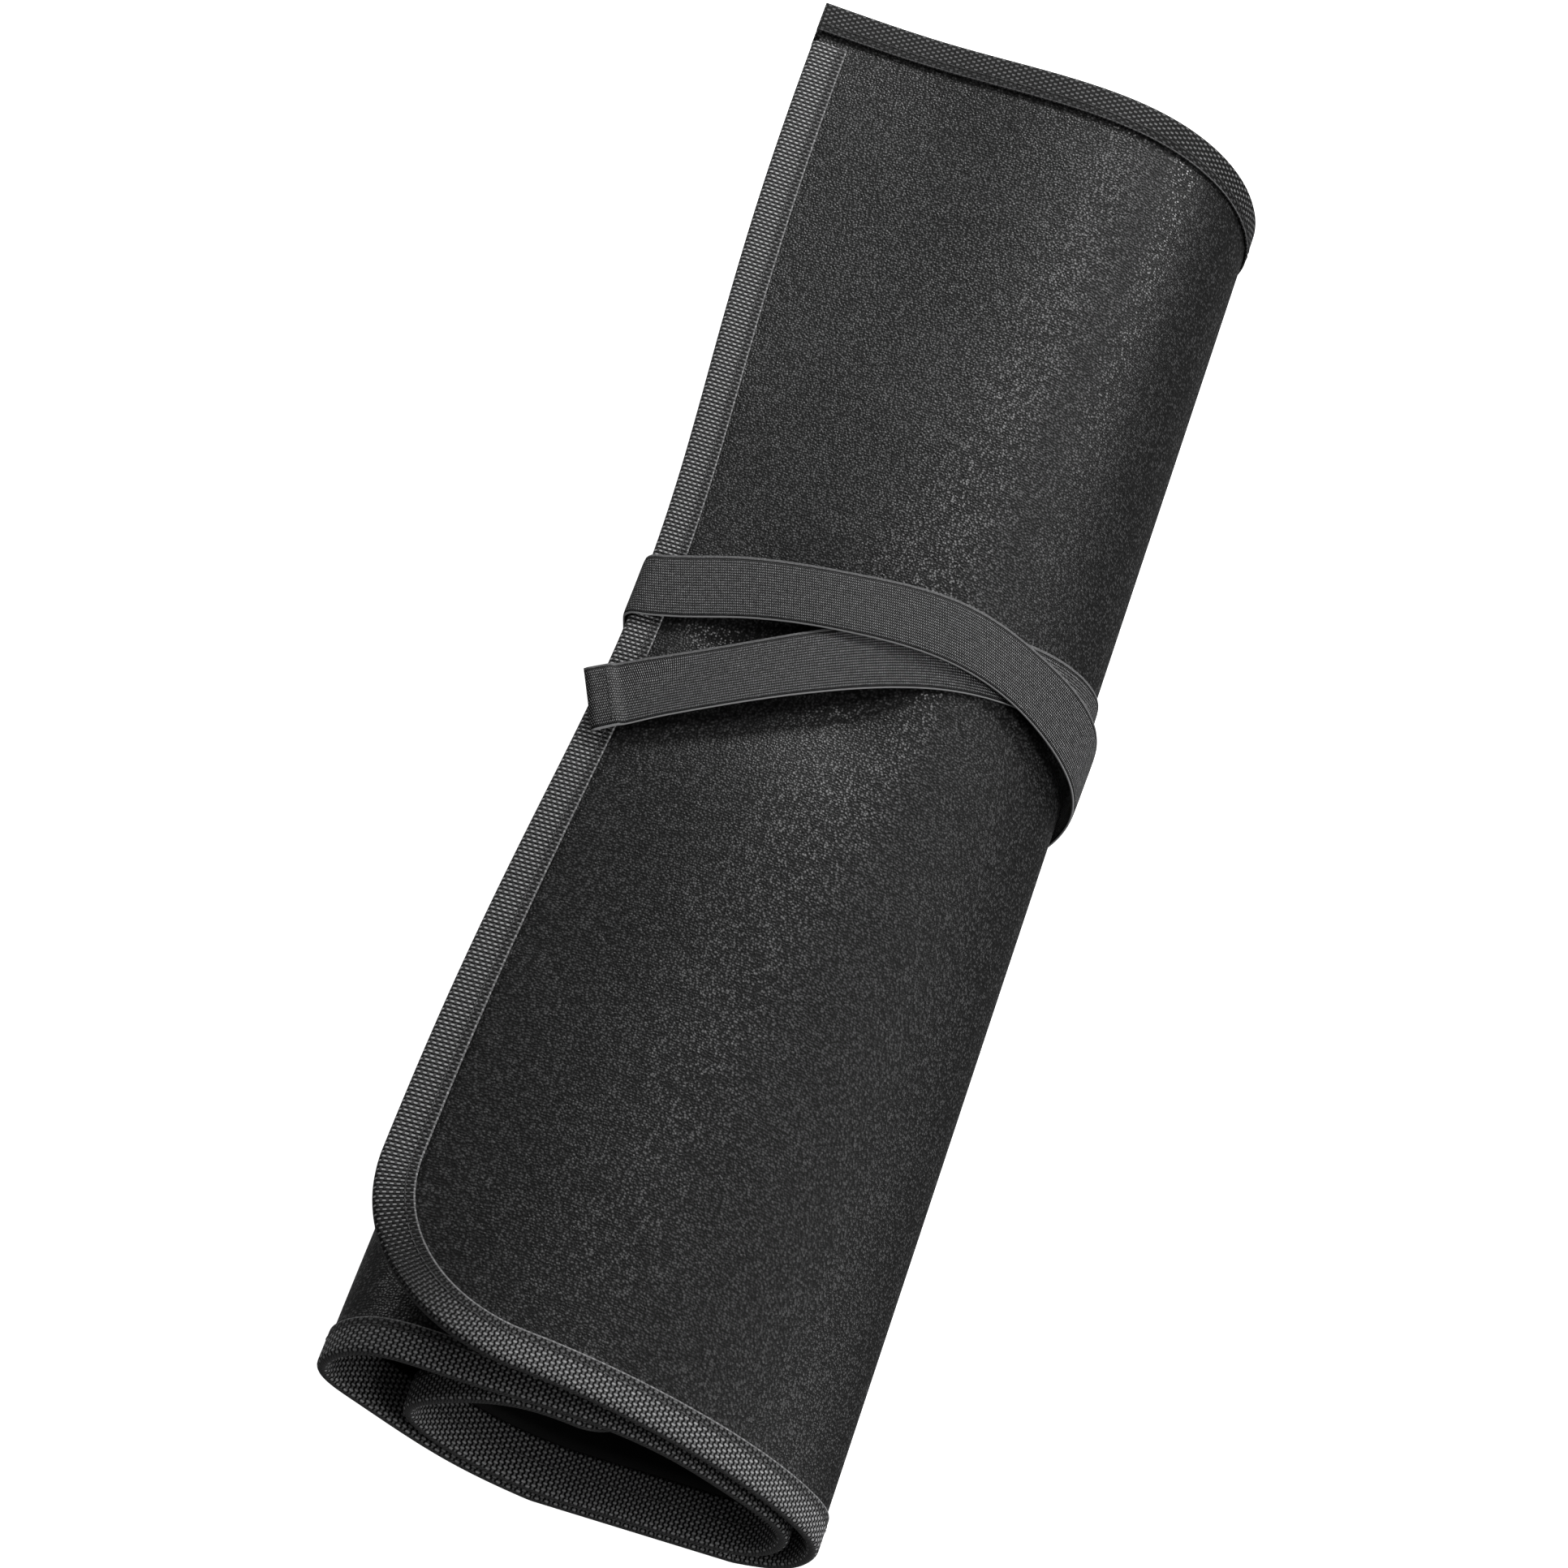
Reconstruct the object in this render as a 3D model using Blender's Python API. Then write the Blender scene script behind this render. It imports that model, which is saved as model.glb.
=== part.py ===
"""Barbecue tool bag, rolled up and tied with its elastic strap.

One long sheet of leather-look cloth is rolled about two and a half times round its short axis,
so that its free edge becomes the flap on top. Folded tape binds the sheet's edges, a thin
pocket panel lies on its inner face, and an elastic strap goes round the roll.

The roll's axis is along Y, with its open near end at -Y. X is across the roll, the flap's free
edge is on the left at -X, and Z is up from the surface that the bag lies on. Metres.
"""

import bmesh
import bpy
import numpy as np
from mathutils import Matrix

ROLL_LENGTH = 0.515
ROLL_WIDTH = 0.160
NEAR_HEIGHT = 0.083
FAR_HEIGHT = 0.081

SHEET_THICKNESS = 0.0018
CORNER_RADIUS = 0.056
INNER_CORNER_RADIUS = 0.020
LAYER_GAP = 0.0005

TAPE_THICKNESS = 0.0007
TAPE_OUTER_LEG = 0.0105
TAPE_INNER_LEG = 0.015
SEAT_GAP = 0.0003

PANEL_THICKNESS = 0.0008
PANEL_START = 0.486
PANEL_END = 0.643

STRAP_WIDTH = 0.025
STRETCHED_WIDTH = 0.0228
STRAP_THICKNESS = 0.0012
STRAP_GAP = 0.0004
HEM_LENGTH = 0.008
FREE_PART = 0.012
END_SLANT = 0.14
STRAP_AT = 0.020

WAIST_DEPTH = 0.0126
WAIST_REACH = 0.122
DENT_DEPTH = 0.0035
DENT_START = 0.014
DENT_END = 0.112
DENT_SLOPE = 0.030
DENT_AT = 0.005
DENT_REACH = 0.030

# The longest facets of the sheet and of the strap, along their curves.
SHEET_FACET = 0.024
STRAP_FACET = 0.010

EDGE_THICKNESS = SHEET_THICKNESS + 2 * (SEAT_GAP + TAPE_THICKNESS)
LAYER_PITCH = EDGE_THICKNESS + LAYER_GAP
STRAP_PITCH = STRAP_THICKNESS + STRAP_GAP

# The sheet's middle surface seen from the near end, from the flap's free edge inwards, clockwise.
# Across is a share of the half width and height a share of the roll's height, at each end of the
# roll. Right and up move a place by whole layers, where one turn lies against the next.
PLACES = (
    # place, near across, near height, far across, far height, right, up
    ("flap edge", -0.983, 0.980, -0.932, 0.985, 0, 0),
    ("flap crown", -0.385, 1.000, -0.385, 0.950, 0, 0),
    ("flap shoulder", 0.255, 0.850, 0.255, 0.955, 0, 0),
    ("flap slope", 0.665, 0.640, 0.665, 0.840, 0, 0),
    ("right fold top", 0.930, 0.410, 0.935, 0.545, 0, 0),
    ("right fold", 0.995, 0.275, 0.990, 0.320, 0, 0),
    ("right fold foot", 0.920, 0.095, 0.925, 0.095, 0, 0),
    ("floor, right", 0.700, 0.000, 0.700, 0.000, 0, 0),
    ("floor, left", -0.110, 0.000, -0.300, 0.000, 0, 0),
    ("left slope foot", -0.440, 0.110, -0.570, 0.060, 0, 0),
    ("left slope", -0.835, 0.360, -0.800, 0.290, 0, 0),
    ("left fold", -0.975, 0.510, -0.860, 0.520, 0, 0),
    ("left fold top", -0.860, 0.715, -0.780, 0.740, 0, 0),
    ("second top, left", -0.510, 0.765, -0.460, 0.840, 0, 0),
    ("second top", 0.000, 0.750, 0.000, 0.845, 0, 0),
    ("second shoulder", 0.360, 0.675, 0.400, 0.790, 0, 0),
    ("second slope", 0.690, 0.490, 0.740, 0.585, 0, 0),
    ("inner right fold", 0.875, 0.290, 0.865, 0.320, 0, 0),
    ("inner fold foot", 0.770, 0.045, 0.760, 0.045, 0, 1),
    ("inner floor, right", 0.510, 0.000, 0.510, 0.000, 0, 1),
    ("inner floor, left", 0.000, 0.000, -0.100, 0.000, 0, 1),
    ("inner slope", -0.400, 0.110, -0.450, 0.090, 0, 1),
    ("inner left fold", -0.625, 0.380, -0.640, 0.400, 0, 0),
    ("third top, left", -0.460, 0.580, -0.480, 0.680, 0, 0),
    ("third top", -0.200, 0.750, -0.220, 0.840, 0, -1),
    ("inner end", 0.260, 0.670, 0.260, 0.780, 0, -1),
)
LEFT_FOLD_TOP = 12

# The strap leaves the taut girth, and runs straight on, at the share FREE_PART of it before its
# free end. Its middle line: round is a share of the taut girth, clockwise from the flap's free
# edge, and more than 1 on the second pass. Along is a share of the roll's length from its middle.
# The last two columns say how far the band's near and far edges stand off the roll, in strap
# pitches, where it crosses its own first pass and where it bridges the right fold.
STRAP_ROUTE = (
    # place, round, along, near edge off, far edge off
    ("free end", 0.0018, -0.059, 0, 0),
    ("crown, first pass", 0.112, -0.005, 1.5, 0),
    ("shoulder, first pass", 0.230, 0.048, 0, 0),
    ("slope, first pass", 0.312, 0.071, 0, 0),
    ("right fold, first pass", 0.400, 0.086, 0, 0),
    ("fold foot, first pass", 0.475, 0.092, 0, 0),
    ("under, first pass", 0.675, 0.074, 0, 0),
    ("left side", 0.923, 0.033, 0, 0),
    ("flap edge, second pass", 1.010, 0.0335, 0, 0),
    ("crown, second pass", 1.078, 0.0510, 0, 0),
    ("top, second pass", 1.172, 0.066, 1.0, 0.3),
    ("shoulder, second pass", 1.260, 0.074, 1.2, 0.8),
    ("slope, second pass", 1.335, 0.068, 2.2, 1.4),
    ("right fold, second pass", 1.398, 0.054, 3.3, 4.2),
    ("fold foot, second pass", 1.450, 0.046, 1.2, 1.2),
    ("floor, second pass", 1.520, 0.033, 0, 0),
    ("sewn end", 1.620, 0.014, 0, 0),
)

MIDDLE = ROLL_LENGTH / 2
HALF_ACROSS = (ROLL_WIDTH - EDGE_THICKNESS) / 2


def spline(knots, rows, at):
    """Natural cubic through the rows at the knots, carried on straight past both ends."""
    steps = np.diff(knots)
    slopes = np.diff(rows, axis=0) / steps[:, None]
    n = len(knots)
    inner = np.arange(1, n - 1)
    system = np.eye(n)
    system[inner, inner - 1] = steps[:-1]
    system[inner, inner] = 2 * (steps[:-1] + steps[1:])
    system[inner, inner + 1] = steps[1:]
    bends = np.zeros_like(rows)
    bends[1:-1] = 6 * np.diff(slopes, axis=0)
    bends = np.linalg.solve(system, bends)
    inside = np.clip(at, knots[0], knots[-1])
    k = np.clip(np.searchsorted(knots, inside, side="right") - 1, 0, n - 2)
    step, past = steps[k][:, None], (inside - knots[k])[:, None]
    left, right = bends[k], bends[k + 1]
    slope = slopes[k] - step * (2 * left + right) / 6
    rise = (right - left) / (6 * step)
    value = rows[k] + past * (slope + past * (left / 2 + past * rise))
    tangent = slope + past * (left + 3 * past * rise)
    return value + tangent * (at - inside)[:, None]


def length_along(points):
    """Distance of each point from the first, along the line through them."""
    return np.concatenate([[0], np.cumsum(np.linalg.norm(np.diff(points, axis=0), axis=1))])


def turn_tables():
    """The two ends' sections sampled finely, with the distance along the middle one."""
    columns = np.array([row[1:] for row in PLACES], float).T
    near_across, near_height, far_across, far_height, right, up = columns
    ends = []
    for across, height, tall in (
        (near_across, near_height, NEAR_HEIGHT),
        (far_across, far_height, FAR_HEIGHT),
    ):
        x = across * HALF_ACROSS + right * LAYER_PITCH
        z = EDGE_THICKNESS / 2 + height * (tall - EDGE_THICKNESS) + up * LAYER_PITCH
        ends.append(np.stack([x, z], axis=1))
    rows = np.concatenate(ends, axis=1)
    knots = length_along((ends[0] + ends[1]) / 2)
    at = np.linspace(0, knots[-1], 3000)
    both = spline(knots, rows, at)
    along = length_along((both[:, :2] + both[:, 2:]) / 2)
    inner_turn = at > knots[LEFT_FOLD_TOP]
    left_fold_top = np.interp(knots[LEFT_FOLD_TOP], at, along)
    return along, both, inner_turn, left_fold_top


ALONG, ENDS, INNER_TURN, OUTER_TURN_LENGTH = turn_tables()
SHEET_LENGTH = ALONG[-1]


def smooth_step(value, low, high):
    """0 below low, 1 above high and an even S between them."""
    share = np.clip((value - low) / (high - low), 0, 1)
    return share * share * (3 - 2 * share)


def middle_surface(s, y):
    """X and Z of the sheet's middle surface, s from the flap's edge round the roll, at y."""
    inside = np.clip(s, 0, SHEET_LENGTH)
    near_x, near_z, far_x, far_z = (np.interp(inside, ALONG, ENDS[:, k]) for k in range(4))
    share = np.clip(y / ROLL_LENGTH + 0.5, 0, 1)
    x = near_x + share * (far_x - near_x)
    z = near_z + share * (far_z - near_z)
    floor = EDGE_THICKNESS / 2 + LAYER_PITCH * np.interp(inside, ALONG, INNER_TURN)
    z = np.maximum(z, floor)
    # The strap pulls the left side in, and lifts the sheet by its own thickness where it passes
    # beneath.
    waist = np.exp(-(((y - STRAP_AT) / WAIST_REACH) ** 2))
    x = np.where(x < 0, x * (1 - WAIST_DEPTH / HALF_ACROSS * waist), x)
    lift = STRAP_PITCH + SHEET_THICKNESS / 2 - EDGE_THICKNESS / 2
    near_strap = 1 - smooth_step(np.abs(y - STRAP_AT), 3 * STRAP_WIDTH, 6 * STRAP_WIDTH)
    return x, z + lift * near_strap


def surface(s, y, height):
    """A point that stands height off the sheet's middle surface, outwards where positive."""
    s, y, height = np.broadcast_arrays(s, y, height)
    step = SHEET_THICKNESS / 4
    inside = np.clip(s, step, SHEET_LENGTH - step)
    x0, z0 = middle_surface(inside - step, y)
    x1, z1 = middle_surface(inside + step, y)
    size = np.hypot(x1 - x0, z1 - z0)
    along_x, along_z = (x1 - x0) / size, (z1 - z0) / size
    x, z = middle_surface(s, y)
    past = s - np.clip(s, 0, SHEET_LENGTH)
    x = x + past * along_x - height * along_z
    z = z + past * along_z + height * along_x
    return np.stack([x, y, z], axis=-1)


def dent(s, y):
    """How far the flap sinks between its edge and its shoulder, where the strap bridges it."""
    slopes = smooth_step(s, DENT_START, DENT_START + DENT_SLOPE) * (
        1 - smooth_step(s, DENT_END - DENT_SLOPE, DENT_END)
    )
    return DENT_DEPTH * slopes * np.exp(-(((y - DENT_AT) / DENT_REACH) ** 2))


def stations(points, longest, most_turn):
    """Shares of a line's length, closer where it bends, from its finely sampled points."""
    lengths = length_along(points)
    heading = np.diff(points, axis=0)
    heading /= np.linalg.norm(heading, axis=1)[:, None]
    turns = np.arccos(np.clip((heading[1:] * heading[:-1]).sum(1), -1, 1))
    turned = np.concatenate([[0, 0], np.cumsum(turns)])
    effort = lengths / longest + turned / most_turn
    count = int(np.ceil(effort[-1])) + 1
    return np.interp(np.linspace(0, effort[-1], count), effort, lengths) / lengths[-1]


def rounded_drop(into, radius):
    """How far the near edge lies back, into the sheet from a rounded corner's end."""
    left = radius - np.clip(into, 0, radius)
    return radius - np.sqrt(radius**2 - left**2)


def near_edge(s):
    """Y of the sheet's near edge: a straight line that rounds into both of its ends."""
    outer = rounded_drop(s, CORNER_RADIUS)
    inner = rounded_drop(SHEET_LENGTH - s, INNER_CORNER_RADIUS)
    return -MIDDLE + EDGE_THICKNESS / 2 + outer + inner


FAR_EDGE = MIDDLE - EDGE_THICKNESS / 2
CORNER_TURNS = np.linspace(0, np.pi / 2, 7)
DENT_ROWS = 0.5 + (DENT_AT + 2 * DENT_REACH * np.linspace(-1, 1, 6)) / ROLL_LENGTH
ROW_SHARES = np.concatenate(
    [np.linspace(0, DENT_ROWS[0], 6)[:-1], DENT_ROWS, np.linspace(DENT_ROWS[-1], 1, 6)[1:]]
)


def corner_columns(radius):
    """Distances into the sheet from a rounded corner's end, at even turns of its arc."""
    return radius * (1 - np.cos(CORNER_TURNS))


def sheet_columns():
    """Distances s of the sheet's columns: closer in its folds, and even round its corners."""
    at = np.linspace(CORNER_RADIUS, SHEET_LENGTH - INNER_CORNER_RADIUS, 1500)
    x, z = middle_surface(at, np.zeros_like(at))
    share = stations(np.stack([x, z], axis=1), SHEET_FACET, np.radians(27))
    between = at[0] + share * (at[-1] - at[0])
    corners = corner_columns(CORNER_RADIUS), SHEET_LENGTH - corner_columns(INNER_CORNER_RADIUS)
    return np.unique(np.concatenate([*corners, between[1:-1], [PANEL_START, PANEL_END]]))


COLUMNS = sheet_columns()


def material(name, colour, roughness):
    made = bpy.data.materials.new(name)
    made.use_nodes = True
    shader = made.node_tree.nodes["Principled BSDF"]
    shader.inputs["Base Color"].default_value = (*colour, 1)
    shader.inputs["Roughness"].default_value = roughness
    shader.inputs["Metallic"].default_value = 0
    return made


def solid(name, points, faces, finish):
    """An object of one closed mesh, its faces turned outwards."""
    mesh = bpy.data.meshes.new(name)
    mesh.from_pydata(points.tolist(), [], faces)
    shape = bmesh.new()
    shape.from_mesh(mesh)
    bmesh.ops.recalc_face_normals(shape, faces=shape.faces)
    shape.to_mesh(mesh)
    shape.free()
    mesh.shade_smooth()
    mesh.set_sharp_from_angle(angle=np.radians(40))
    mesh.materials.append(finish)
    made = bpy.data.objects.new(name, mesh)
    bpy.context.scene.collection.objects.link(made)
    return made


def shell(name, outer, inner, finish):
    """A thin wall between two grids of points, closed round its border."""
    rows, columns = outer.shape[:2]
    index = np.arange(rows * columns).reshape(rows, columns)
    under = index + rows * columns
    quads = np.stack([index[:-1, :-1], index[1:, :-1], index[1:, 1:], index[:-1, 1:]], -1)
    faces = quads.reshape(-1, 4).tolist()
    faces += (quads[..., ::-1] + rows * columns).reshape(-1, 4).tolist()
    border = np.concatenate([index[0], index[1:, -1], index[-1, -2::-1], index[-2:0:-1, 0]])
    across = under.reshape(-1)[border]
    after = np.roll(border, -1), np.roll(across, -1)
    faces += np.stack([border, after[0], after[1], across], axis=1).tolist()
    points = np.concatenate([outer.reshape(-1, 3), inner.reshape(-1, 3)])
    return solid(name, points, faces, finish)


def sweep(name, rings, finish):
    """A closed profile carried along a path, one ring of points for each station."""
    count, around = rings.shape[:2]
    index = np.arange(count * around).reshape(count, around)
    beside = np.roll(index, -1, axis=1)
    quads = np.stack([index[:-1], index[1:], beside[1:], beside[:-1]], axis=-1)
    faces = quads.reshape(-1, 4).tolist()
    faces += [index[0].tolist(), index[-1, ::-1].tolist()]
    return solid(name, rings.reshape(-1, 3), faces, finish)


def roll_sheet(finish):
    s = COLUMNS[:, None]
    start = near_edge(s)
    y = start + ROW_SHARES * (FAR_EDGE - start)
    half, sunk = SHEET_THICKNESS / 2, dent(s, y)
    return shell("roll_sheet", surface(s, y, half - sunk), surface(s, y, -half - sunk), finish)


def tape_profile():
    """The folded tape's section: out past the sheet's edge, and off its middle surface."""
    inside = SHEET_THICKNESS / 2 + SEAT_GAP
    outside = EDGE_THICKNESS / 2
    nose = 0.9 * outside
    return np.array(
        [
            (-TAPE_OUTER_LEG, outside),
            (0, outside),
            (nose, outside / 2),
            (nose, -outside / 2),
            (0, -outside),
            (-TAPE_INNER_LEG, -outside),
            (-TAPE_INNER_LEG, -inside),
            (SEAT_GAP, -inside),
            (SEAT_GAP, inside),
            (-TAPE_OUTER_LEG, inside),
        ]
    )


def tape_rings(s, y, out_s, out_y):
    """The tape's profile at flat places s, y of the sheet's edge, facing out_s, out_y."""
    out, height = tape_profile().T
    return surface(
        s[:, None] + out_s[:, None] * out,
        y[:, None] + out_y[:, None] * out,
        height[None, :],
    )


def front_binding(finish):
    """Down the flap's free edge, round its corner, along the near edge and up the inner end."""
    stop = FAR_EDGE - TAPE_INNER_LEG - SEAT_GAP
    near_end = SHEET_LENGTH - INNER_CORNER_RADIUS
    straight = COLUMNS[(COLUMNS > CORNER_RADIUS) & (COLUMNS < near_end)]
    parts = []
    for edge_s, radius, side in ((0.0, CORNER_RADIUS, 1), (SHEET_LENGTH, INNER_CORNER_RADIUS, -1)):
        rows = near_edge(edge_s) + ROW_SHARES * (FAR_EDGE - near_edge(edge_s))
        run = np.concatenate([[stop], rows[rows < stop][:0:-1]])
        parts.append((edge_s + 0 * run, run, -side + 0 * run, 0 * run))
        s = edge_s + side * corner_columns(radius)
        parts.append((s, near_edge(s), -side * np.cos(CORNER_TURNS), -np.sin(CORNER_TURNS)))
    flap_run, flap_corner, end_run, end_corner = (np.stack(part) for part in parts)
    along = np.stack([straight, near_edge(straight), 0 * straight, 0 * straight - 1])
    path = [flap_run, flap_corner, along, end_corner[:, ::-1], end_run[:, ::-1]]
    return sweep("front_binding", tape_rings(*np.concatenate(path, axis=1)), finish)


def rear_binding(finish):
    """Along the whole far edge, over the ends of the front binding's line."""
    past = EDGE_THICKNESS / 2
    s = np.concatenate([[-past], COLUMNS, [SHEET_LENGTH + past]])
    y = np.full_like(s, FAR_EDGE)
    return sweep("rear_binding", tape_rings(s, y, np.zeros_like(s), np.ones_like(s)), finish)


def pocket_panel(finish):
    """A thin pocket layer on the inner face, from under the second top round the inner fold."""
    s = COLUMNS[(COLUMNS >= PANEL_START) & (COLUMNS <= PANEL_END)][:, None]
    margin = EDGE_THICKNESS / 2 + TAPE_INNER_LEG + SEAT_GAP
    y = -MIDDLE + margin + ROW_SHARES * (ROLL_LENGTH - 2 * margin)
    face = -SHEET_THICKNESS / 2 - SEAT_GAP
    return shell(
        "pocket_panel", surface(s, y, face), surface(s, y, face - PANEL_THICKNESS), finish
    )


def taut_line(y, count):
    """Points and outward normals round the roll at y, at even shares of the strap's girth: in
    each direction the strap touches the point of the roll that lies furthest that way."""
    s = np.linspace(0, OUTER_TURN_LENGTH, 240)
    turn = np.linspace(-np.pi / 2, np.pi / 2, 13)
    half_edge = EDGE_THICKNESS / 2
    outline = np.concatenate(
        [
            surface(s, y, SHEET_THICKNESS / 2),
            surface(np.linspace(0, TAPE_OUTER_LEG, 8), y, half_edge),
            surface(-half_edge * np.cos(turn), y, half_edge * np.sin(turn)),
        ]
    )[:, [0, 2]]
    way = 0.75 * np.pi - np.linspace(0, 2 * np.pi, 721)
    normal = np.stack([np.cos(way), np.sin(way)], axis=1)
    touch = outline[np.argmax(normal @ outline.T, axis=1)]
    girth = length_along(touch + STRAP_PITCH * normal)
    at = np.linspace(0, girth[-1], count)
    table = np.concatenate([touch, normal], axis=1)
    return np.stack([np.interp(at, girth, column) for column in table.T], axis=1), girth[-1]


def strap_surface():
    """The taut lines over the strap's stretch of the roll, as one table to read between."""
    y = np.linspace(STRAP_AT - 4 * STRAP_WIDTH, STRAP_AT + 4 * STRAP_WIDTH, 41)
    lines, girths = zip(*(taut_line(at, 1201) for at in y))
    return y, np.array(lines), float(np.mean(girths))


def strap_points(table, share, y, height):
    """Points height off the taut surface, round it by share, at y; straight on at the free end."""
    at_y, lines, girth = table
    row = np.clip((y - at_y[0]) / (at_y[1] - at_y[0]), 0, len(at_y) - 1.001)
    past = np.minimum(share - FREE_PART, 0) * girth
    column = (np.maximum(share, FREE_PART) % 1) * (lines.shape[1] - 1)
    i, j = np.floor(row).astype(int), np.minimum(np.floor(column).astype(int), 1199)
    u, v = (row - i)[..., None], (column - j)[..., None]
    near = (1 - v) * lines[i, j] + v * lines[i, j + 1]
    far = (1 - v) * lines[i + 1, j] + v * lines[i + 1, j + 1]
    x, z, nx, nz = np.moveaxis((1 - u) * near + u * far, -1, 0)
    size = np.hypot(nx, nz)
    nx, nz = nx / size, nz / size
    return np.stack([x + height * nx + past * nz, y, z + height * nz - past * nx], axis=-1)


def elastic_strap(finish):
    """A flat band along its route on the taut surface, its free end hemmed double."""
    table = strap_surface()
    girth = table[2]
    rows = np.array([row[1:] for row in STRAP_ROUTE], float)
    rows = rows * (girth, ROLL_LENGTH, STRAP_PITCH, STRAP_PITCH)
    knots = length_along(rows[:, :2])
    fine = spline(knots, rows, np.linspace(0, knots[-1], 3000))
    line = strap_points(table, fine[:, 0] / girth, fine[:, 1], np.full(3000, STRAP_PITCH))
    share = stations(line, STRAP_FACET, np.radians(18))
    lengths = length_along(line)
    at = share * lengths[-1]
    round_roll, along_roll, near_off, far_off = (
        np.interp(at, lengths, column)[:, None] for column in fine.T
    )
    ahead = np.stack([np.gradient(round_roll[:, 0], at), np.gradient(along_roll[:, 0], at)], 1)
    ahead /= np.linalg.norm(ahead, axis=1)[:, None]
    ahead_round, ahead_along = ahead[:, :1], ahead[:, 1:]
    stretched = smooth_step(at, HEM_LENGTH, 4 * HEM_LENGTH)[:, None]
    width = STRAP_WIDTH + stretched * (STRETCHED_WIDTH - STRAP_WIDTH)
    across = np.linspace(-0.5, 0.5, 5)
    # Rows lie square across the band at its free end, and level round the roll beyond it, so that
    # they meet the flap's edge along its length.
    square = 1 - stretched
    slant = END_SLANT * ahead_round - ahead_along
    places = (round_roll + square * slant * across * width) / girth
    level = ahead_round + (1 - square) * ahead_along**2 / ahead_round
    y = along_roll + level * across * width
    off = np.maximum(near_off + (across + 0.5) * (far_off - near_off), 0)
    hem = 1 - smooth_step(at, HEM_LENGTH, HEM_LENGTH + 2 * STRAP_THICKNESS)
    bottom = STRAP_GAP + off
    top = bottom + STRAP_THICKNESS * (1 + hem[:, None])
    under = strap_points(table, places, y, bottom)
    upper = strap_points(table, places, y, top)
    under[..., 2] = np.maximum(under[..., 2], STRAP_THICKNESS)
    upper[..., 2] = np.maximum(upper[..., 2], 0)
    return sweep("elastic_strap", np.concatenate([under, upper[:, ::-1]], axis=1), finish)


def main():
    for old in list(bpy.data.objects):
        bpy.data.objects.remove(old)
    leather = material("leather_cloth", (0.030, 0.030, 0.031), 0.55)
    tape = material("woven_tape", (0.055, 0.055, 0.057), 0.70)
    lining = material("pocket_cloth", (0.022, 0.022, 0.023), 0.65)
    elastic = material("elastic", (0.040, 0.040, 0.041), 0.75)
    roll_sheet(leather)
    front_binding(tape)
    rear_binding(tape)
    pocket_panel(lining)
    elastic_strap(elastic)
    # The origin goes to the middle of the footprint, at the level that the bag lies on.
    shapes = [made.data for made in bpy.context.scene.objects]
    points = np.array([tuple(vertex.co) for shape in shapes for vertex in shape.vertices])
    low, high = points.min(axis=0), points.max(axis=0)
    shift = Matrix.Translation((-(low[0] + high[0]) / 2, -(low[1] + high[1]) / 2, -low[2]))
    for shape in shapes:
        shape.transform(shift)


main()
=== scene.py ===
import bmesh
import bpy
import numpy as np
from mathutils import Matrix, Vector


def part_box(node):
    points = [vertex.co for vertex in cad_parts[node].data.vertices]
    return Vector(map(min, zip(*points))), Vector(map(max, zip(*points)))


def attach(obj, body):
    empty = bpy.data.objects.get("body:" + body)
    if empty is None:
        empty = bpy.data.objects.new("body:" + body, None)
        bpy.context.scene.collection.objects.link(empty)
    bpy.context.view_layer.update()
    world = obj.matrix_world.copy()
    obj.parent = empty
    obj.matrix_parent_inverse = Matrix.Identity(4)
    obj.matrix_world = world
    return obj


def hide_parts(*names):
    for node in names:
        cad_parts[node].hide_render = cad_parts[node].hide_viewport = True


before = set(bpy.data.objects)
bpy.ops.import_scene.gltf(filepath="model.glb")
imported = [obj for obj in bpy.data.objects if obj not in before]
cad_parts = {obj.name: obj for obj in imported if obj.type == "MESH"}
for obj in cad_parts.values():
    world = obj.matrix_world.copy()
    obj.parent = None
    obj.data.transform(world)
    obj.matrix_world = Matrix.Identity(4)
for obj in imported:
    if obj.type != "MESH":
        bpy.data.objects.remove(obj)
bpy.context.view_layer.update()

# The roll
# One long sheet of leather-look cloth, about 1.8 mm thick with its backing, rolled up about two
# and a half turns round its short axis. The free edge becomes the flap on top. The same flat
# places, s along the sheet from the flap's edge and y along the roll, serve all that is sewn on.
ROLL_LENGTH = 0.515
ROLL_WIDTH = 0.160
NEAR_HEIGHT = 0.083
FAR_HEIGHT = 0.081
SHEET_THICKNESS = 0.0018
CORNER_RADIUS = 0.056
INNER_CORNER_RADIUS = 0.020
LAYER_GAP = 0.0005
TAPE_THICKNESS = 0.0007
SEAT_GAP = 0.0003
STRAP_WIDTH = 0.025
STRAP_THICKNESS = 0.0012
STRAP_GAP = 0.0004
STRAP_AT = 0.020
WAIST_DEPTH = 0.0126
WAIST_REACH = 0.122
DENT_DEPTH = 0.0035
DENT_START = 0.014
DENT_END = 0.112
DENT_SLOPE = 0.030
DENT_AT = 0.005
DENT_REACH = 0.030

EDGE_THICKNESS = SHEET_THICKNESS + 2 * (SEAT_GAP + TAPE_THICKNESS)
LAYER_PITCH = EDGE_THICKNESS + LAYER_GAP
STRAP_PITCH = STRAP_THICKNESS + STRAP_GAP
MIDDLE = ROLL_LENGTH / 2
HALF_ACROSS = (ROLL_WIDTH - EDGE_THICKNESS) / 2
FAR_EDGE = MIDDLE - EDGE_THICKNESS / 2

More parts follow.
